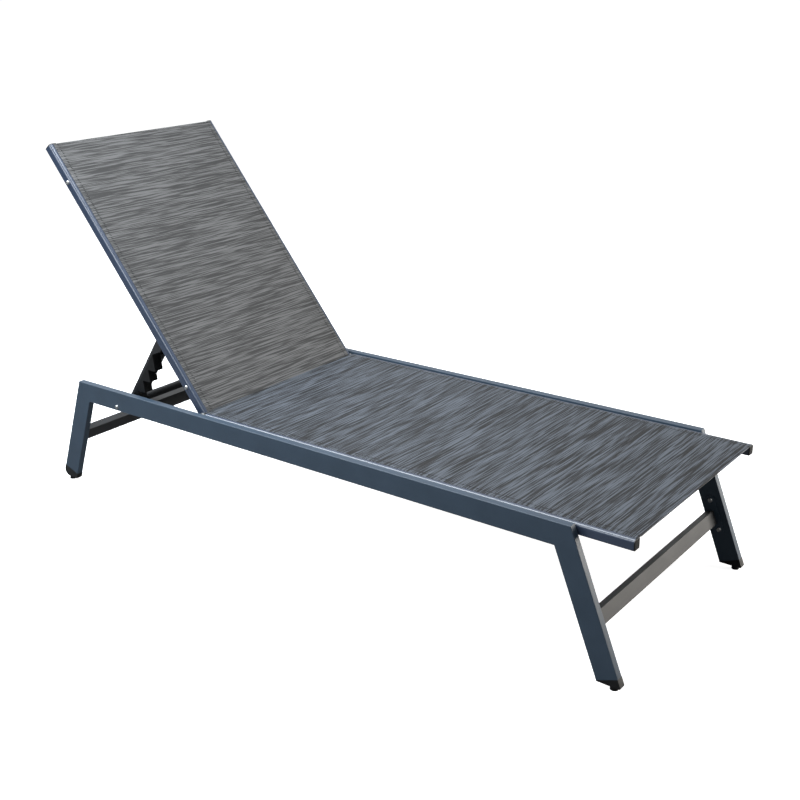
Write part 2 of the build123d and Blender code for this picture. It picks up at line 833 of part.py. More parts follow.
with BuildPart() as prop_cap:
    with BuildSketch(side_plane(-prop_inner)):
        side_shape(box_points(
            prop_point, (prop_length, -half_tube), (prop_length + prop_cap_flange, half_tube),
        ))
    extrude(amount=prop_tube)
    with BuildSketch(side_plane(plug_half - prop_axis_y)):
        side_shape(box_points(
            prop_point, (prop_length - cap_plug, -plug_half), (prop_length, plug_half),
        ))
    extrude(amount=2 * plug_half)
save_pair(prop_cap, "prop_cap")

with BuildPart() as prop_cross_tube:
    with BuildSketch(side_plane(prop_inner)):
        with Locations(prop_point(prop_cross_along, 0)):
            Circle(prop_cross_diameter / 2)
            Circle(prop_cross_diameter / 2 - prop_cross_wall, mode=Mode.SUBTRACT)
    extrude(amount=2 * prop_inner)
save(prop_cross_tube, "prop_cross_tube")

with BuildPart() as prop_bolts:
    for side in (-1, 1):
        seat = Plane(origin=(pivot[0], side * prop_inner, pivot[1]), x_dir=(1, 0, 0), z_dir=(0, -side, 0))
        reach = back_inner - prop_inner + pivot_engagement
        domed_bolt(seat, pivot_bolt_head, bolt_head_height, pivot_bolt_shank, reach)
save(prop_bolts, "prop_bolts")

with BuildPart() as prop_washers:
    for face in (-prop_outer - running_gap, back_inner):
        with BuildSketch(side_plane(face)):
            with Locations(pivot):
                Circle(washer_diameter / 2)
                Circle(pivot_hole / 2, mode=Mode.SUBTRACT)
        extrude(amount=prop_gap - running_gap)
save(prop_washers, "prop_washers")

# Racks: the lowest ledge hangs over the bar. Ledges lie level with the deck, and each riser runs
# from the inner end of a ledge to the next tip.
lean = radians(prop_lean)
pivot_rise = hinge_rise + prop_pivot * sin(radians(back_angle))
lowest_tip = (pivot_rise + rack_bar_drop - rack_gap - tooth_reach * sin(lean)) / cos(lean)
first_tip = lowest_tip - (tooth_count - 1) * tooth_pitch
ledge_along = tooth_ledge * sin(lean)
ledge_front = tooth_reach - tooth_ledge * cos(lean)
riser_along = tooth_pitch - ledge_along
rack_head = first_tip - riser_along - rack_chamfer
rack_foot = lowest_tip + ledge_along + riser_along * rack_tail_share
rack_points = [prop_point(rack_head, half_tube), prop_point(first_tip - riser_along, ledge_front)]
rack_radii = [0, tooth_round]
for tooth in range(tooth_count):
    tip = first_tip + tooth * tooth_pitch
    rack_points.append(prop_point(tip, tooth_reach))
    rack_points.append(prop_point(tip + ledge_along, ledge_front))
    rack_radii += [tooth_round, 0]
tail_front = ledge_front + (tooth_reach - ledge_front) * rack_tail_share
rack_points.append(prop_point(rack_foot, tail_front))
rack_points.append(prop_point(rack_foot + rack_chamfer, half_tube))
rack_radii += [tooth_round, 0]
flange_start = rack_head + rack_chamfer
flange_front = half_tube + rack_flange
flange_middle = flange_start + rack_flange_length / 2
screw_places = [
    flange_middle + (turn - (rack_screw_count - 1) / 2) * rack_screw_pitch
    for turn in range(rack_screw_count)
]
prop_front = towards(prop_point(0, 0), prop_point(0, 1))
with BuildPart() as rack:
    with BuildSketch(side_plane(-prop_outer)):
        with BuildLine():
            FilletPolyline(*rack_points, radius=rack_radii, close=True)
        make_face()
    extrude(amount=rack_thickness)
    with BuildSketch(side_plane(rack_flange_width - prop_outer)):
        side_shape(box_points(
            prop_point, (flange_start, half_tube), (flange_start + rack_flange_length, flange_front),
        ))
    extrude(amount=rack_flange_width)
    with BuildSketch(*[facing(prop_point(along, half_tube), -prop_axis_y, prop_front) for along in screw_places]):
        Circle(screw_hole / 2)
    extrude(amount=rack_flange + overrun, mode=Mode.SUBTRACT)
save_pair(rack, "rack")

with BuildPart() as rack_screws:
    for along in screw_places:
        for side in (-1, 1):
            seat = facing(prop_point(along, flange_front), side * prop_axis_y, prop_front)
            domed_bolt(seat, screw_head, screw_head_height, screw_shank, rack_flange)
save(rack_screws, "rack_screws")
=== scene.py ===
import json
from math import cos, hypot, pi, radians, sin

import bmesh
import bpy
from bpy.props import FloatProperty, FloatVectorProperty, PointerProperty
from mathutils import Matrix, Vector


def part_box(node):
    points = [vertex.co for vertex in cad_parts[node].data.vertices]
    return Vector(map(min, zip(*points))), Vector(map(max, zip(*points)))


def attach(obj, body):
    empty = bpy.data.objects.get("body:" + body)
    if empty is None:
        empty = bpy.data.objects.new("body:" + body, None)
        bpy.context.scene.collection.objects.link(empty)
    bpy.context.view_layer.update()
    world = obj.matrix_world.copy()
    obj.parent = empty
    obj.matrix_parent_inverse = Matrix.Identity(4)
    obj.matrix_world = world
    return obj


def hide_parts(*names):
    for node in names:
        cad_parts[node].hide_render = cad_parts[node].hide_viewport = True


bl_info = {
    "name": "Sun lounger",
    "version": (1, 0, 0),
    "blender": (4, 5, 0),
    "location": "View3D > Sidebar > Lounger",
    "description": "Textile, finishes and studio of a reclining aluminium sun lounger",
    "category": "Add Mesh",
}

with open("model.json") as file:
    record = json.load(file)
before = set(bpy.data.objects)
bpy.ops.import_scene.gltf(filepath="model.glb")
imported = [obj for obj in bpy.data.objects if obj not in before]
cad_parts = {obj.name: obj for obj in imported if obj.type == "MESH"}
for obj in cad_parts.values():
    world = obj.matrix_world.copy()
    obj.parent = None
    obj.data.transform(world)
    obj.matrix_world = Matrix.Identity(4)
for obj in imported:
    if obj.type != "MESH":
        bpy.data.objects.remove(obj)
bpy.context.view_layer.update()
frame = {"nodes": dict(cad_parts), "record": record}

# Sizes are in metres.
# The cloth bends over a rail's lip with this radius, and its top face lies this far under its CAD sheet's.
LIP_BEND = 0.0012
CLOTH_DEPTH = 0.0001
# The seat's cloth comes this much closer to the backrest's than its CAD sheet does.
SEAT_LEAD = 0.0007
# Rows of vertices from a free end over its fold, and on either side of the hem's cut edge.
FOLD_ROWS = (0.0, 0.0006, 0.0016, 0.003)
CUT_EDGE_ROWS = (-0.001, 0.0008)
# The top face dips this much at a free end, and is level this far from it.
FOLD_DIP = 0.0005
FOLD_REACH = 0.0016
# The turned hem ends this far short of the grooves and hangs about this far under the cloth.
HEM_INSET = 0.014
HEM_GAP = 0.0004
# The radius of the hem's fold is this share of the cloth's thickness.
FOLD_RADIUS_SHARE = 0.8
# Stitches stop this far short of a sling's ends, lie this far inside the hem's cut edge, and start this
# far under the CAD sheet's top face.
ROW_MARGIN = 0.004
HEM_ROW_INSET = 0.004
STITCH_SINK = 0.0002
# The stitches beside the rails cross the row at this angle, as an overlocked edge shows them.
STITCH_SLANT = radians(50)
# A stitch is flattened to this share of its height, and its ends dip by this share of the thread.
FLAT_SHARE = 0.4
TUCK_SHARE = 0.4

# Steps of the meshes.
LIP_STEPS = 4
FLAT_STEPS = 46
RUN_STEPS = 44
FOLD_STEPS = 5
HEM_STEPS = 24
ROW_STEPS = 24
STITCH_STEPS = 3
STITCH_SIDES = 5

# Most values of a noise texture lie in this range.
NOISE_RANGE = (0.3, 0.7)

# Half the floor's side, the camera's sensor in millimetres, and where the camera is and looks.
FLOOR_REACH = 60.0
SENSOR_WIDTH = 36
CAMERA_PLACE = (1.6483, -2.0602, 1.3198)
CAMERA_TURN = (radians(69.213), radians(0.24), radians(37.25))


def linear(code):
    """Linear colour of an sRGB hex code."""
    parts = [int(code[i : i + 2], 16) / 255 for i in (1, 3, 5)]
    return tuple(v / 12.92 if v <= 0.04045 else ((v + 0.055) / 1.055) ** 2.4 for v in parts)


def colour(name, text, code):
    """A colour that a user can change."""
    return FloatVectorProperty(
        name=name, description=text, subtype="COLOR", size=3, min=0, max=1, default=linear(code)
    )


def length(name, text, default):
    """A length in metres that a user can change."""
    return FloatProperty(
        name=name, description=text, subtype="DISTANCE", unit="LENGTH", min=0, default=default
    )


def power(name, text, default):
    """A light's power in watts that a user can change."""
    return FloatProperty(name=name, description=text, unit="POWER", min=0, default=default)


class LoungerTextile(bpy.types.PropertyGroup):
    """The stretched textile of the seat and the backrest."""

    yarn_pitch: length("Yarn pitch", "Spacing of the coated yarns", 0.0014)
    streak_length: length("Streak length", "Length of one colour run along a weft yarn", 0.2)
    sag: length("Sag", "How far the middle of a sling sags", 0.003)
    lip: length("Lip", "Depth of the cloth's edge in the rail's groove", 0.0035)
    hem: length("Hem", "Width of the folded hem at a sling's free ends", 0.024)
    thickness: length("Thickness", "Thickness of the cloth", 0.0007)
    # The seat and the backrest are one textile. The seat's yarn colours are darker and bluer and the
    # backrest's lighter and greyer: painted shade on the seat and painted light on the backrest.
    seat_dark: colour("Seat dark yarn", "Darker weft yarn of the seat", "#050609")
    seat_light: colour("Seat light yarn", "Lighter weft yarn of the seat", "#5a6068")
    back_dark: colour("Back dark yarn", "Darker weft yarn of the backrest", "#3a3a3a")
    back_light: colour("Back light yarn", "Lighter weft yarn of the backrest", "#6b6b6b")


class LoungerStitching(bpy.types.PropertyGroup):
    """The lockstitch rows along the slings' edges."""

    pitch: length("Stitch pitch", "Distance from one slanted stitch to the next", 0.0085)
    stitch: length("Stitch length", "Length of one slanted stitch", 0.0078)
    thread: length("Thread", "Thickness of the gathered strands of one slanted stitch", 0.0022)
    hem_share: FloatProperty(
        name="Hem share", description="Size of the hems' stitches to the slanted ones", min=0, default=0.4
    )
    edge: length("Edge distance", "From the rail's groove to the row of stitches", 0.013)
    thread_colour: colour("Thread colour", "Bonded polyester sewing thread", "#14171b")


class LoungerFinish(bpy.types.PropertyGroup):
    """Colours of the frame's finishes."""

    frame_coat: colour("Frame coat", "Slate powder coat of the side frames", "#3b4a59")
    # The tubes' own coat is a neutral grey. The charcoal is darker than that, as painted shade for the tubes
    # under the seat and the backrest.
    tube_coat: colour("Tube coat", "Charcoal powder coat of the cross tubes and the prop", "#2b2c2e")
    rail_coat: colour("Rail coat", "Blue-black coat of the sling rails", "#354155")
    plastic: colour("Plastic", "Black plastic of the caps and racks", "#08090a")
    steel: colour("Steel", "Bright zinc on the bolts", "#cfd0cf")


class LoungerStudio(bpy.types.PropertyGroup):
    """Floor, light and camera."""

    floor: colour("Floor", "Pale floor and backdrop", "#ffffff")
    top_light: power("Top light", "Power of the soft light above", 130)
    side_light: power("Side light", "Power of the soft light beyond the foot end", 50)
    near_light: power("Near light", "Power of the soft light on the near side", 34)
    focal_length: FloatProperty(
        name="Focal length", description="Camera lens in millimetres", min=1, default=52.64
    )


def add_node(tree, kind, inputs=None, **settings):
    """Adds a node, applies its settings, and sets or links its inputs by name or number."""
    made = tree.nodes.new(kind)
    for name, value in settings.items():
        setattr(made, name, value)
    for key, value in (inputs or {}).items():
        if isinstance(value, bpy.types.NodeSocket):
            tree.links.new(value, made.inputs[key])
        else:
            made.inputs[key].default_value = value
    return made


def maths(tree, operation, *values):
    """The result of a maths node."""
    return add_node(tree, "ShaderNodeMath", dict(enumerate(values)), operation=operation).outputs[0]


def remap(tree, value, source, target, **settings):
    """A value moved from one range to another."""
    ranges = {"From Min": source[0], "From Max": source[1], "To Min": target[0], "To Max": target[1]}
    return add_node(tree, "ShaderNodeMapRange", {"Value": value, **ranges}, **settings).outputs[0]


def noise(tree, place, size, detail):
    """Noise whose patches are about this size."""
    inputs = {"Vector": place, "Scale": 1 / size, "Detail": detail}
    return add_node(tree, "ShaderNodeTexNoise", inputs).outputs["Fac"]


def shaded(tree, tone, shade):
    """A colour times a value."""
    return add_node(tree, "ShaderNodeVectorMath", {0: tone, "Scale": shade}, operation="SCALE").outputs[0]


def bumped(tree, height, strength, depth):
    """A surface normal that follows a height."""
    inputs = {"Height": height, "Strength": strength, "Distance": depth}
    return add_node(tree, "ShaderNodeBump", inputs).outputs[0]


def new_material(name):
    """An empty node material and its tree."""
    made = bpy.data.materials.new(name)
    made.use_nodes = True
    made.node_tree.nodes.clear()
    return made, made.node_tree


def close_material(made, surface, tone):
    """Gives a material its surface shader, and a plain colour for the viewport."""
    add_node(made.node_tree, "ShaderNodeOutputMaterial", {"Surface": surface.outputs[0]})
    made.diffuse_color = (*tone, 1)
    return made


def powder_coat(name, tone, roughness, grain, sheen_spread, lacquer):
    """Cured polyester powder on aluminium: an even satin film with a faint orange-peel ripple."""
    peel_pitch = 0.0015
    peel_depth = 0.00006
    cloud_size = 0.06
    cloud_shades = (0.93, 1.07)
    # Pigment grit is about a third of a millimetre wide, drawn at twice that so that it shows.
    grit_pitch = 0.0007
    grit_reach_share = 0.6
    sheens = (roughness - sheen_spread, roughness + sheen_spread)
    made, tree = new_material(name)
    place = add_node(tree, "ShaderNodeTexCoord").outputs["Object"]
    ripple = noise(tree, place, peel_pitch, detail=2.0)
    cloud = noise(tree, place, cloud_size, detail=3.0)
    grit = add_node(tree, "ShaderNodeTexVoronoi", {"Vector": place, "Scale": 1 / grit_pitch})
    shade = remap(tree, cloud, NOISE_RANGE, cloud_shades)
    speck = remap(tree, grit.outputs["Distance"], (0.0, grit_reach_share), (1 + grain, 1 - grain))
    coat = add_node(
        tree,
        "ShaderNodeBsdfPrincipled",
        {
            "Base Color": shaded(tree, tone, maths(tree, "MULTIPLY", shade, speck)),
            "Roughness": remap(tree, cloud, NOISE_RANGE, sheens),
            "IOR": 1.5,
            "Coat Weight": lacquer,
            "Coat Roughness": 0.26,
            "Coat IOR": 1.6,
            "Normal": bumped(tree, ripple, strength=0.25, depth=peel_depth),
        },
    )
    return close_material(made, coat, tone)


def moulded_plastic(name, tone):
    """Injection-moulded polyamide: matt, with the spark-eroded grain of its mould."""
    # Mould grain is about 0.4 mm across, drawn at 0.8 mm so that it shows.
    grain_size = 0.0008
    grain_depth = 0.0001
    scuff_size = 0.012
    scuff_shades = (0.9, 1.15)
    scuff_roughness = (0.36, 0.52)
    made, tree = new_material(name)
    place = add_node(tree, "ShaderNodeTexCoord").outputs["Object"]
    grain = noise(tree, place, grain_size, detail=3.0)
    scuff = noise(tree, place, scuff_size, detail=4.0)
    body = add_node(
        tree,
        "ShaderNodeBsdfPrincipled",
        {
            "Base Color": shaded(tree, tone, remap(tree, scuff, NOISE_RANGE, scuff_shades)),
            "Roughness": remap(tree, scuff, NOISE_RANGE, scuff_roughness),
            "IOR": 1.53,
            "Normal": bumped(tree, grain, strength=0.3, depth=grain_depth),
        },
    )
    return close_material(made, body, tone)


def zinc_steel(name, tone):
    """Cold-formed steel with bright zinc: a soft metal shine with fine turning marks."""
    # Turning marks are a quarter of a millimetre apart, drawn at half a millimetre so that they show.
    mark_pitch = 0.0005
    mark_shades = (0.9, 1.0)
    mark_roughness = (0.34, 0.48)
    made, tree = new_material(name)
    place = add_node(tree, "ShaderNodeTexCoord").outputs["Object"]
    marks = noise(tree, place, mark_pitch, detail=2.0)
    metal = add_node(
        tree,
        "ShaderNodeBsdfPrincipled",
        {
            "Base Color": shaded(tree, tone, remap(tree, marks, NOISE_RANGE, mark_shades)),
            "Metallic": 1.0,
            "Roughness": remap(tree, marks, NOISE_RANGE, mark_roughness),
        },
    )
    return close_material(made, metal, tone)


def polyester_thread(name, tone):
    """Bonded polyester thread: twisted, with a faint waxy shine."""
    twist_pitch = 0.0007
    twist_shades = (0.75, 1.25)
    made, tree = new_material(name)
    place = add_node(tree, "ShaderNodeTexCoord").outputs["Object"]
    twist = noise(tree, place, twist_pitch, detail=1.0)
    base = shaded(tree, tone, remap(tree, twist, NOISE_RANGE, twist_shades))
    yarn = add_node(tree, "ShaderNodeBsdfPrincipled", {"Base Color": base, "Roughness": 0.55, "IOR": 1.5})
    return close_material(made, yarn, tone)


def streaks(tree, across, along, row_width, run_length, seed):
    """Colour runs along rows of weft yarns, where each row starts at a place of its own."""
    row = maths(tree, "FLOOR", maths(tree, "DIVIDE", along, row_width))
    start = add_node(tree, "ShaderNodeTexWhiteNoise", {"W": row}, noise_dimensions="1D").outputs["Value"]
    run = maths(tree, "DIVIDE", across, run_length)
    inputs = {"W": maths(tree, "MULTIPLY_ADD", start, seed, run), "Scale": 1.0, "Detail": 1.0}
    return add_node(tree, "ShaderNodeTexNoise", inputs, noise_dimensions="1D").outputs[0]


def melange_textile(name, dark, light, settings):
    """Woven PVC-coated polyester yarn: weft yarns of mixed greys run across the sling, over fine warps."""
    pitch = settings.yarn_pitch
    # Long colour runs are a little wider than a yarn, short ones a single yarn.
    long_run = settings.streak_length
    short_run = 0.35 * settings.streak_length
    long_row = 1.3 * pitch
    short_row = pitch
    long_share = 0.72
    short_share = 0.26
    cloud_share = 0.02
    cloud_across = 0.35
    cloud_along = 0.05
    # The mixed noise from here to here goes from the dark yarn to the light one.
    yarn_range = (0.455, 0.575)
    yarn_relief_share = 0.8
    # The weave's pits are painted this much darker and its crests this much lighter: painted shade and
    # painted highlight.
    weave_painted_shade_and_highlight = (0.86, 1.08)
    relief_depth = 0.00012
    made, tree = new_material(name)
    # The UV map is in metres: U across the sling, V along it.
    uv = add_node(tree, "ShaderNodeUVMap", uv_map="cut").outputs["UV"]
    apart = add_node(tree, "ShaderNodeSeparateXYZ", {0: uv})
    across, along = apart.outputs[0], apart.outputs[1]
    long_streaks = streaks(tree, across, along, long_row, long_run, seed=97.0)
    short_streaks = streaks(tree, across, along, short_row, short_run, seed=61.0)
    stretch = (1 / cloud_across, 1 / cloud_along, 1.0)
    wide = add_node(tree, "ShaderNodeMapping", {"Vector": uv, "Scale": stretch})
    cloud = noise(tree, wide.outputs[0], 1.0, detail=2.0)
    mixed = maths(tree, "MULTIPLY", long_streaks, long_share)
    mixed = maths(tree, "MULTIPLY_ADD", short_streaks, short_share, mixed)
    mixed = maths(tree, "MULTIPLY_ADD", cloud, cloud_share, mixed)
    share = remap(tree, mixed, yarn_range, (0.0, 1.0))
    yarn = add_node(tree, "ShaderNodeMix", {0: share, 6: (*dark, 1), 7: (*light, 1)}, data_type="RGBA")
    # The weave's own relief: warps across the wefts, one yarn pitch apart. The base colour is darker in the
    # relief's pits and lighter on its crests: painted shade in the pits and painted highlight on the crests.
    turns = 2 * pi / pitch
    wave_u = maths(tree, "SINE", maths(tree, "MULTIPLY", across, turns))
    wave_v = maths(tree, "SINE", maths(tree, "MULTIPLY", along, turns))
    weave = maths(tree, "MULTIPLY", wave_u, wave_v)
    relief = maths(tree, "MULTIPLY_ADD", share, yarn_relief_share, weave)
    # Painted shade in the weave's pits and painted highlight on its crests.
    pit = remap(tree, weave, (-1.0, 1.0), weave_painted_shade_and_highlight)
    cloth = add_node(
        tree,
        "ShaderNodeBsdfPrincipled",
        {
            "Base Color": shaded(tree, yarn.outputs[2], pit),
            "Roughness": 0.62,
            "IOR": 1.48,
            "Normal": bumped(tree, relief, strength=0.5, depth=relief_depth),
        },
    )
    return close_material(made, cloth, light)


def sling_frame(node, from_head):
    """A CAD sling's top corner next to the hinge, its directions along and up, its run and half its width."""
    mesh = frame["nodes"][node].data
    corners = {(round(v.co.x, 5), round(v.co.z, 5)) for v in mesh.vertices}
    points = [Vector((x, 0, z)) for x, z in corners]
    first = min(points, key=lambda p: p.x if from_head else p.z)
    twin = min((p for p in points if p != first), key=lambda p: (p - first).length)
    others = [p for p in points if p not in (first, twin)]
    start = max((first, twin), key=lambda p: p.z)
    end = max(others, key=lambda p: p.z)
    low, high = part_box(node)
    along = (end - start).normalized()
    if from_head:
        start = start - along * SEAT_LEAD
    up = Vector((-along.z, 0, along.x)) if from_head else Vector((along.z, 0, -along.x))
    return start, along, up, (end - start).length, (high.y - low.y) / 2


def bow(share):
    """Share of the sag at this share of the way from a sling's middle to its side."""
    return (1 - share**2) ** 2


def drape(settings, y, half, v, run):
    """How far the cloth sags: most in the middle, nothing along its sides and at its free ends."""
    return settings.sag * bow(y / half) * sin(pi * v / run) ** 0.5


def cloth_section(half, lip, drop):
    """Across the sling: (u along the cloth, y, height), from one groove over the rails' lips to the other."""
    down = lip - LIP_BEND
    side = [(0.0, half, -lip)]
    for i in range(LIP_STEPS + 1):
        turn = pi / 2 * i / LIP_STEPS
        y = half - LIP_BEND * (1 - cos(turn))
        side.append((down + LIP_BEND * turn, y, LIP_BEND * sin(turn) - LIP_BEND))
    inner = half - LIP_BEND
    run = down + LIP_BEND * pi / 2
    points = list(side)
    for i in range(1, FLAT_STEPS):
        y = inner - 2 * inner * i / FLAT_STEPS
        points.append((run + (inner - y), y, -drop * bow(y / inner)))
    total = 2 * run + 2 * inner
    for u, y, height in reversed(side):
        points.append((total - u, -y, height))
    return points, total


def join_rows(mesh, uv, rows):
    """Smooth faces between rows of vertices, each of which comes with its place in the UV map."""
    for low, high in zip(rows, rows[1:]):
        for i in range(len(low) - 1):
            corners = [low[i], low[i + 1], high[i + 1], high[i]]
            face = mesh.faces.new([c[0] for c in corners])
            face.smooth = True
            for loop, corner in zip(face.loops, corners):
                loop[uv].uv = corner[1]


def cloth_object(name, mesh, thickness):
    """An object of this mesh, with the cloth's thickness."""
    data = bpy.data.meshes.new(name)
    mesh.to_mesh(data)
    mesh.free()
    cloth = bpy.data.objects.new(name, data)
    bpy.context.scene.collection.objects.link(cloth)
    wall = cloth.modifiers.new("Thickness", "SOLIDIFY")
    wall.thickness = thickness
    wall.offset = 0
    return cloth


def cloth_sheet(name, node, from_head, settings):
    """A sling's cloth as one sheet: tucked into both grooves and sagging a little."""
    start, along, up, run, half = sling_frame(node, from_head)
    thickness = settings.thickness
    hem = settings.hem
    half = half - thickness / 2
    top = -CLOTH_DEPTH - thickness / 2
    ends = [*FOLD_ROWS, *(hem + row for row in CUT_EDGE_ROWS)]
    middle = [hem + (run - 2 * hem) * i / RUN_STEPS for i in range(1, RUN_STEPS)]
    steps = ends + middle + [run - s for s in reversed(ends)]
    mesh = bmesh.new()
    uv = mesh.loops.layers.uv.new("cut")
    rows = []
    for v in steps:
        edge = min(v, run - v)
        # The turned hem lies under the sheet, so the top face only dips over its fold.
        dip = FOLD_DIP * max(0.0, 1 - edge / FOLD_REACH)
        points, total = cloth_section(half, settings.lip, drape(settings, 0, half, v, run))
        row = []
        for u, y, height in points:
            spot = start + along * v + up * (top + height - dip)
            row.append((mesh.verts.new((spot.x, y, spot.z)), (u, v)))
        rows.append(row)
    join_rows(mesh, uv, rows)
    bmesh.ops.recalc_face_normals(mesh, faces=mesh.faces)
    mesh.faces.ensure_lookup_table()
    if mesh.faces[len(mesh.faces) // 2].normal.dot(up) < 0:
        bmesh.ops.reverse_faces(mesh, faces=mesh.faces)
    return cloth_object(name, mesh, thickness), (total, run)


def hem_fold(name, node, from_head, settings):
    """The turned-under hems at a sling's free ends: a second layer below the cloth with a rounded fold."""
    start, along, up, run, half = sling_frame(node, from_head)
    thickness = settings.thickness
    inner = half - HEM_INSET
    radius = FOLD_RADIUS_SHARE * thickness
    layer = HEM_GAP + 2 * radius
    turns = [pi * i / FOLD_STEPS for i in range(FOLD_STEPS + 1)]
    profile = [(radius * (1 - sin(turn)), radius * (cos(turn) - 1)) for turn in turns]
    profile += [(settings.hem, -2 * radius), (settings.hem, -2 * radius - thickness)]
    travels = [0.0]
    for (place, height), (next_place, next_height) in zip(profile, profile[1:]):
        travels.append(travels[-1] + hypot(next_place - place, next_height - height))
    mesh = bmesh.new()
    uv = mesh.loops.layers.uv.new("cut")
    for far_end in (False, True):
        rows = []
        for (place, height), travel in zip(profile, travels):
            distance = run - place if far_end else place
            row = []
            for i in range(HEM_STEPS + 1):
                y = inner - 2 * inner * i / HEM_STEPS
                drop = drape(settings, y, half, distance, run)
                spot = start + along * distance + up * (height - drop - layer)
                row.append((mesh.verts.new((spot.x, y, spot.z)), (y, travel)))
            rows.append(row)
        join_rows(mesh, uv, rows)
    bmesh.ops.recalc_face_normals(mesh, faces=mesh.faces)
    return cloth_object(name, mesh, thickness)


def stitch_tree(material, settings):
    """Geometry nodes: a bowed stitch repeated along every edge line of a mesh."""
    tree = bpy.data.node_groups.new("Lockstitch row", "GeometryNodeTree")
    tree.interface.new_socket("Geometry", in_out="INPUT", socket_type="NodeSocketGeometry")
    sizes = (("Pitch", settings.pitch), ("Stitch length", settings.stitch), ("Thread", settings.thread))
    for label, value in sizes:
        socket = tree.interface.new_socket(label, in_out="INPUT", socket_type="NodeSocketFloat")
        socket.default_value = value
    tree.interface.new_socket("Up", in_out="INPUT", socket_type="NodeSocketVector")
    tree.interface.new_socket("Slant", in_out="INPUT", socket_type="NodeSocketFloat")
    tree.interface.new_socket("Geometry", in_out="OUTPUT", socket_type="NodeSocketGeometry")
    given = add_node(tree, "NodeGroupInput").outputs
    path = add_node(tree, "GeometryNodeMeshToCurve", {"Mesh": given["Geometry"]})
    spots = add_node(
        tree, "GeometryNodeCurveToPoints", {"Curve": path.outputs[0], "Length": given["Pitch"]}, mode="LENGTH"
    )
    half = maths(tree, "MULTIPLY", given["Stitch length"], 0.5)
    minus = maths(tree, "MULTIPLY", half, -1.0)
    under = maths(tree, "MULTIPLY", given["Thread"], -TUCK_SHARE)
    begin = add_node(tree, "ShaderNodeCombineXYZ", {0: minus, 2: under})
    crest = add_node(tree, "ShaderNodeCombineXYZ", {2: given["Thread"]})
    finish = add_node(tree, "ShaderNodeCombineXYZ", {0: half, 2: under})
    arch = add_node(
        tree,
        "GeometryNodeCurveQuadraticBezier",
        {
            "Resolution": STITCH_STEPS,
            "Start": begin.outputs[0],
            "Middle": crest.outputs[0],
            "End": finish.outputs[0],
        },
    )
    radius = maths(tree, "MULTIPLY", given["Thread"], 0.5)
    ring = add_node(tree, "GeometryNodeCurvePrimitiveCircle", {"Resolution": STITCH_SIDES, "Radius": radius})
    stitch = add_node(
        tree,
        "GeometryNodeCurveToMesh",
        {"Curve": arch.outputs[0], "Profile Curve": ring.outputs[0], "Fill Caps": True},
    )
    # The strands lie side by side, so a stitch is flat.
    flat = add_node(
        tree, "GeometryNodeTransform", {"Geometry": stitch.outputs[0], "Scale": (1.0, 1.0, FLAT_SHARE)}
    )
    turned = add_node(
        tree, "FunctionNodeAlignRotationToVector", {"Vector": spots.outputs["Tangent"]}, axis="X"
    )
    upright = add_node(
        tree,
        "FunctionNodeAlignRotationToVector",
        {"Rotation": turned.outputs[0], "Vector": given["Up"]},
        axis="Z",
        pivot_axis="X",
    )
    slant = add_node(tree, "FunctionNodeAxisAngleToRotation", {"Axis": (0, 0, 1), "Angle": given["Slant"]})
    leaning = add_node(
        tree,
        "FunctionNodeRotateRotation",
        {0: upright.outputs[0], 1: slant.outputs[0]},
        rotation_space="LOCAL",
    )
    placed = add_node(
        tree,
        "GeometryNodeInstanceOnPoints",
        {"Points": spots.outputs["Points"], "Instance": flat.outputs[0], "Rotation": leaning.outputs[0]},
    )
    solid = add_node(tree, "GeometryNodeRealizeInstances", {0: placed.outputs[0]})
    dressed = add_node(tree, "GeometryNodeSetMaterial", {"Geometry": solid.outputs[0], "Material": material})
    add_node(tree, "NodeGroupOutput", {0: dressed.outputs[0]})
    return tree


def stitched_rows(name, lines, up, tree, settings, share, slant):
    """Runs the stitch tree along some lines and keeps the result as a plain mesh."""
    data = bpy.data.meshes.new(name)
    verts = [p for line in lines for p in line]
    edges = []
    count = 0
    for line in lines:
        edges += [(count + i, count + i + 1) for i in range(len(line) - 1)]
        count += len(line)
    data.from_pydata(verts, edges, [])
    guide = bpy.data.objects.new(name + "_guide", data)
    bpy.context.scene.collection.objects.link(guide)
    rows = guide.modifiers.new("Stitches", "NODES")
    rows.node_group = tree
    values = {
        "Pitch": settings.pitch * share,
        "Stitch length": settings.stitch * share,
        "Thread": settings.thread * share,
        "Up": tuple(up),
        "Slant": slant,
    }
    for item in tree.interface.items_tree:
        if item.in_out == "INPUT" and item.name in values:
            rows[item.identifier] = values[item.name]
    depsgraph = bpy.context.evaluated_depsgraph_get()
    made = bpy.data.meshes.new_from_object(guide.evaluated_get(depsgraph), depsgraph=depsgraph)
    bpy.data.objects.remove(guide)
    made.name = name
    for face in made.polygons:
        face.use_smooth = True
    stitches = bpy.data.objects.new(name, made)
    bpy.context.scene.collection.objects.link(stitches)
    return stitches


def stitch_lines(node, from_head, textile, settings):
    """The rows of a sling, those beside the grooves and those along the hems, and the way up."""
    start, along, up, run, half = sling_frame(node, from_head)
    side = half - settings.edge
    hem = textile.hem - HEM_ROW_INSET
    shares = [i / ROW_STEPS for i in range(ROW_STEPS + 1)]

    def on_cloth(y, v):
        """A point sunk a little into the cloth."""
        height = -STITCH_SINK - drape(textile, y, half, v, run)
        return (start + along * v + up * height) + Vector((0, y, 0))

    lines = [
        [on_cloth(y, ROW_MARGIN + (run - 2 * ROW_MARGIN) * share) for share in shares] for y in (-side, side)
    ]
    hems = [[on_cloth(-side + 2 * side * share, v) for share in shares] for v in (hem, run - hem)]
    return lines, hems, up


# For each sling: its CAD node, whether it runs from the head end on, and its body.
SLINGS = {
    "seat": ("seat_sling", True, "frame"),
    "back": ("back_sling", False, "backrest"),
}


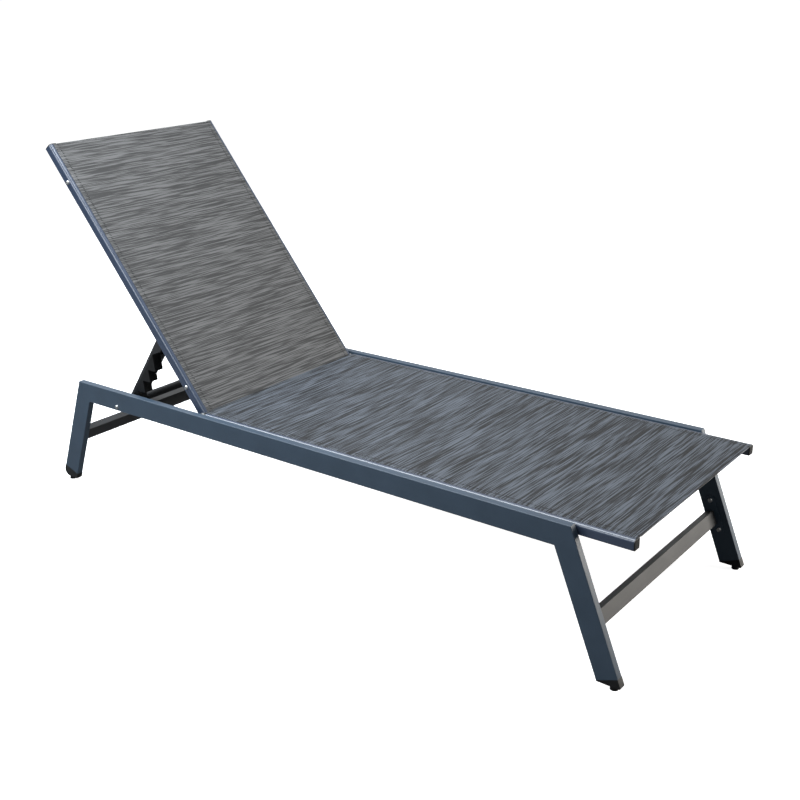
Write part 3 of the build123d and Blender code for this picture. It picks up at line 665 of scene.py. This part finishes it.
def make_sling(which, context):
    """Cloth, hems and stitches of one sling, riding on its body in place of the CAD sling."""
    textile = context.scene.lounger_textile
    stitching = context.scene.lounger_stitching
    node, from_head, body = SLINGS[which]
    # Each sling takes its own yarn colours: the seat's copy of the textile carries painted shade, the
    # backrest's painted light.
    dark = tuple(getattr(textile, which + "_dark"))
    light = tuple(getattr(textile, which + "_light"))
    weave = melange_textile(which + " PVC-coated textile", dark, light, textile)
    cloth, flat = cloth_sheet(which + "_cloth", node, from_head, textile)
    cloth.data.materials.append(weave)
    fold = hem_fold(which + "_hems", node, from_head, textile)
    fold.data.materials.append(weave)
    thread_name = "Bonded polyester thread"
    thread = bpy.data.materials.get(thread_name)
    if thread is None:
        thread = polyester_thread(thread_name, tuple(stitching.thread_colour))
    tree = bpy.data.node_groups.get("Lockstitch row") or stitch_tree(thread, stitching)
    lines, hems, up = stitch_lines(node, from_head, textile, stitching)
    stitches = stitched_rows(which + "_stitches", lines, up, tree, stitching, 1.0, STITCH_SLANT)
    hem_rows = stitched_rows(which + "_hem_stitches", hems, up, tree, stitching, stitching.hem_share, 0.0)
    for piece in (cloth, fold, stitches, hem_rows):
        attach(piece, body)
    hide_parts(node)


# Parts in the charcoal coat, whose darkness is partly their own grey and partly painted shade.
CROSS_TUBES = (
    "head_stretcher",
    "foot_stretcher",
    "rack_bar",
    "seat_cross_tube_head",
    "seat_cross_tube_middle",
    "seat_cross_tube_foot",
    "lower_spreader",
    "upper_spreader",
    "prop_cross_tube",
    "prop_leg_left",
    "prop_leg_right",
)


def nodes_of(slots):
    """The CAD nodes whose material slot is one of these."""
    named = {row["node"]: row["material_slot"] for row in frame["record"]["subparts"]}
    return [frame["nodes"][name] for name, slot in named.items() if slot in slots]


def dress(parts, material):
    """Gives CAD nodes one material."""
    for part in parts:
        part.data.materials.clear()
        part.data.materials.append(material)


class LOUNGER_OT_frame_finish(bpy.types.Operator):
    """Coats the side frames in slate powder"""

    bl_idname = "lounger.frame_finish"
    bl_label = "Frame coat"

    def execute(self, context):
        tone = tuple(context.scene.lounger_finish.frame_coat)
        coat = powder_coat(
            "Slate polyester powder coat", tone, roughness=0.42, grain=0.05, sheen_spread=0.04, lacquer=0.0
        )
        dress(nodes_of({"frame_coat"}), coat)
        return {"FINISHED"}


class LOUNGER_OT_tube_finish(bpy.types.Operator):
    """Coats the stretchers, cross tubes and prop in matt charcoal powder, darker than their own grey as
    painted shade
    """

    bl_idname = "lounger.tube_finish"
    bl_label = "Tube coat"

    def execute(self, context):
        # The charcoal is partly the tubes' own grey and partly painted shade.
        tone = tuple(context.scene.lounger_finish.tube_coat)
        coat = powder_coat(
            "Charcoal polyester powder coat", tone, roughness=0.5, grain=0.05, sheen_spread=0.04, lacquer=0.0
        )
        dress([frame["nodes"][name] for name in CROSS_TUBES], coat)
        return {"FINISHED"}


class LOUNGER_OT_rail_finish(bpy.types.Operator):
    """Coats the sling rails in glossy blue-black powder"""

    bl_idname = "lounger.rail_finish"
    bl_label = "Sling rail coat"

    def execute(self, context):
        tone = tuple(context.scene.lounger_finish.rail_coat)
        coat = powder_coat(
            "Blue-black gloss powder coat", tone, roughness=0.3, grain=0.02, sheen_spread=0.02, lacquer=0.55
        )
        dress(nodes_of({"sling_rail_coat"}), coat)
        return {"FINISHED"}


class LOUNGER_OT_plastic_parts(bpy.types.Operator):
    """Makes the caps, plugs, racks and beads black moulded plastic"""

    bl_idname = "lounger.plastic_parts"
    bl_label = "Plastic parts"

    def execute(self, context):
        tone = tuple(context.scene.lounger_finish.plastic)
        dress(nodes_of({"black_plastic", "bead_cord"}), moulded_plastic("Black moulded polyamide", tone))
        return {"FINISHED"}


class LOUNGER_OT_fasteners(bpy.types.Operator):
    """Makes the bolts, screws, nuts, washers and hinge plates bright zinc"""

    bl_idname = "lounger.fasteners"
    bl_label = "Fasteners"

    def execute(self, context):
        tone = tuple(context.scene.lounger_finish.steel)
        dress(nodes_of({"fasteners"}), zinc_steel("Bright zinc-plated steel", tone))
        return {"FINISHED"}


class LOUNGER_OT_seat_textile(bpy.types.Operator):
    """Stretches the seat textile between its rails"""

    bl_idname = "lounger.seat_textile"
    bl_label = "Seat textile"

    def execute(self, context):
        make_sling("seat", context)
        return {"FINISHED"}


class LOUNGER_OT_back_textile(bpy.types.Operator):
    """Stretches the backrest textile between its rails"""

    bl_idname = "lounger.back_textile"
    bl_label = "Backrest textile"

    def execute(self, context):
        make_sling("back", context)
        return {"FINISHED"}


def soft_light(name, place, target, size, watts, tone):
    """A rectangular softbox that looks at a point."""
    lamp = bpy.data.lights.new(name, "AREA")
    lamp.shape = "RECTANGLE"
    lamp.size, lamp.size_y = size
    lamp.energy = watts
    lamp.color = tone
    holder = bpy.data.objects.new(name, lamp)
    bpy.context.scene.collection.objects.link(holder)
    holder.location = place
    holder.rotation_euler = (Vector(target) - Vector(place)).to_track_quat("-Z", "Y").to_euler()


def studio_floor(pale):
    """A wide floor that looks white, keeps the lounger's shadow and throws little light back."""
    lit_share = 0.9
    glow_strength = 0.86
    bounce_grey = 0.14
    data = bpy.data.meshes.new("studio_floor")
    corners = [(x * FLOOR_REACH, y * FLOOR_REACH, 0) for x, y in ((-1, -1), (1, -1), (1, 1), (-1, 1))]
    data.from_pydata(corners, [], [(0, 1, 2, 3)])
    floor = bpy.data.objects.new("studio_floor", data)
    bpy.context.scene.collection.objects.link(floor)
    made, tree = new_material("Pale studio floor")
    rays = add_node(tree, "ShaderNodeLightPath").outputs
    seen = maths(tree, "MAXIMUM", rays["Is Camera Ray"], rays["Is Transmission Ray"])
    # Lit, the floor is pure white; the lounger's own shadow stays as a faint grey on it.
    lit = add_node(tree, "ShaderNodeBsdfDiffuse", {"Color": (*[lit_share * c for c in pale], 1)})
    glow = add_node(tree, "ShaderNodeEmission", {"Color": (*pale, 1), "Strength": glow_strength})
    shown = add_node(tree, "ShaderNodeAddShader", {0: lit.outputs[0], 1: glow.outputs[0]})
    bounce = add_node(tree, "ShaderNodeBsdfDiffuse", {"Color": (bounce_grey, bounce_grey, bounce_grey, 1)})
    both = add_node(tree, "ShaderNodeMixShader", {0: seen, 1: bounce.outputs[0], 2: shown.outputs[0]})
    add_node(tree, "ShaderNodeOutputMaterial", {"Surface": both.outputs[0]})
    data.materials.append(made)


def studio_world(pale):
    """A backdrop that looks white and lights the lounger softly."""
    fill_strength = 0.2
    near_strength = 0.1
    far_strength = 0.8
    world = bpy.data.worlds.new("Studio")
    bpy.context.scene.world = world
    world.use_nodes = True
    tree = world.node_tree
    tree.nodes.clear()
    rays = add_node(tree, "ShaderNodeLightPath").outputs
    seen = maths(tree, "MAXIMUM", rays["Is Camera Ray"], rays["Is Transmission Ray"])
    place = add_node(tree, "ShaderNodeTexCoord")
    way = add_node(tree, "ShaderNodeSeparateXYZ", {0: place.outputs["Generated"]})
    # Shiny faces mirror a bright room beyond the lounger and a dim one on the near side.
    room = remap(
        tree, way.outputs[1], (-0.5, 0.35), (near_strength, far_strength), interpolation_type="SMOOTHSTEP"
    )
    unseen = add_node(tree, "ShaderNodeMix", {0: rays["Is Glossy Ray"], 2: fill_strength, 3: room})
    strength = add_node(tree, "ShaderNodeMix", {0: seen, 2: unseen.outputs[0], 3: 1.0})
    sky = add_node(tree, "ShaderNodeBackground", {"Color": (*pale, 1), "Strength": strength.outputs[0]})
    add_node(tree, "ShaderNodeOutputWorld", {"Surface": sky.outputs[0]})


def studio_camera(focal_length):
    """The camera of the main view."""
    lens = bpy.data.cameras.new("Camera")
    lens.sensor_width = SENSOR_WIDTH
    lens.lens = focal_length
    camera = bpy.data.objects.new("Camera", lens)
    bpy.context.scene.collection.objects.link(camera)
    camera.location = CAMERA_PLACE
    camera.rotation_euler = CAMERA_TURN
    bpy.context.scene.camera = camera


class LOUNGER_OT_studio(bpy.types.Operator):
    """Adds the pale floor, the soft lights and the camera"""

    bl_idname = "lounger.studio"
    bl_label = "Studio"

    def execute(self, context):
        studio = context.scene.lounger_studio
        pale = tuple(studio.floor)
        studio_floor(pale)
        studio_world(pale)
        soft_light(
            "Top softbox",
            place=(-1.5, -0.5, 2.4),
            target=(-1.5, -0.3, 0.3),
            size=(3.4, 1.2),
            watts=studio.top_light,
            tone=(0.88, 0.94, 1.0),
        )
        soft_light(
            "Foot softbox",
            place=(2.3, 1.4, 0.6),
            target=(0.75, 0, 0.2),
            size=(1.6, 1.0),
            watts=studio.side_light,
            tone=(1.0, 0.95, 0.88),
        )
        soft_light(
            "Near softbox",
            place=(-0.6, -1.9, 1.5),
            target=(-0.3, -0.3, 0.25),
            size=(2.2, 0.7),
            watts=studio.near_light,
            tone=(0.9, 0.95, 1.0),
        )
        studio_camera(studio.focal_length)
        context.scene.view_settings.view_transform = "Standard"
        return {"FINISHED"}


OPERATORS = (
    LOUNGER_OT_frame_finish,
    LOUNGER_OT_tube_finish,
    LOUNGER_OT_rail_finish,
    LOUNGER_OT_plastic_parts,
    LOUNGER_OT_fasteners,
    LOUNGER_OT_seat_textile,
    LOUNGER_OT_back_textile,
    LOUNGER_OT_studio,
)
GROUPS = {
    "lounger_textile": LoungerTextile,
    "lounger_stitching": LoungerStitching,
    "lounger_finish": LoungerFinish,
    "lounger_studio": LoungerStudio,
}


class LOUNGER_PT_panel(bpy.types.Panel):
    """Sizes, colours and steps of the lounger"""

    bl_idname = "LOUNGER_PT_panel"
    bl_label = "Sun lounger"
    bl_space_type = "VIEW_3D"
    bl_region_type = "UI"
    bl_category = "Lounger"

    def draw(self, context):
        for name, group in GROUPS.items():
            box = self.layout.box()
            for field in group.__annotations__:
                box.prop(getattr(context.scene, name), field)
        for operator in OPERATORS:
            self.layout.operator(operator.bl_idname)


def register():
    """Adds the classes and the scene's settings."""
    for name, group in GROUPS.items():
        bpy.utils.register_class(group)
        setattr(bpy.types.Scene, name, PointerProperty(type=group))
    for operator in OPERATORS:
        bpy.utils.register_class(operator)
    bpy.utils.register_class(LOUNGER_PT_panel)


def unregister():
    """Takes them away again."""
    bpy.utils.unregister_class(LOUNGER_PT_panel)
    for operator in reversed(OPERATORS):
        bpy.utils.unregister_class(operator)
    for name, group in GROUPS.items():
        delattr(bpy.types.Scene, name)
        bpy.utils.unregister_class(group)


def main():
    """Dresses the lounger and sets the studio."""
    register()
    bpy.ops.lounger.frame_finish()
    bpy.ops.lounger.tube_finish()
    bpy.ops.lounger.rail_finish()
    bpy.ops.lounger.plastic_parts()
    bpy.ops.lounger.fasteners()
    bpy.ops.lounger.seat_textile()
    bpy.ops.lounger.back_textile()
    bpy.ops.lounger.studio()


if __name__ == "__main__":
    main()
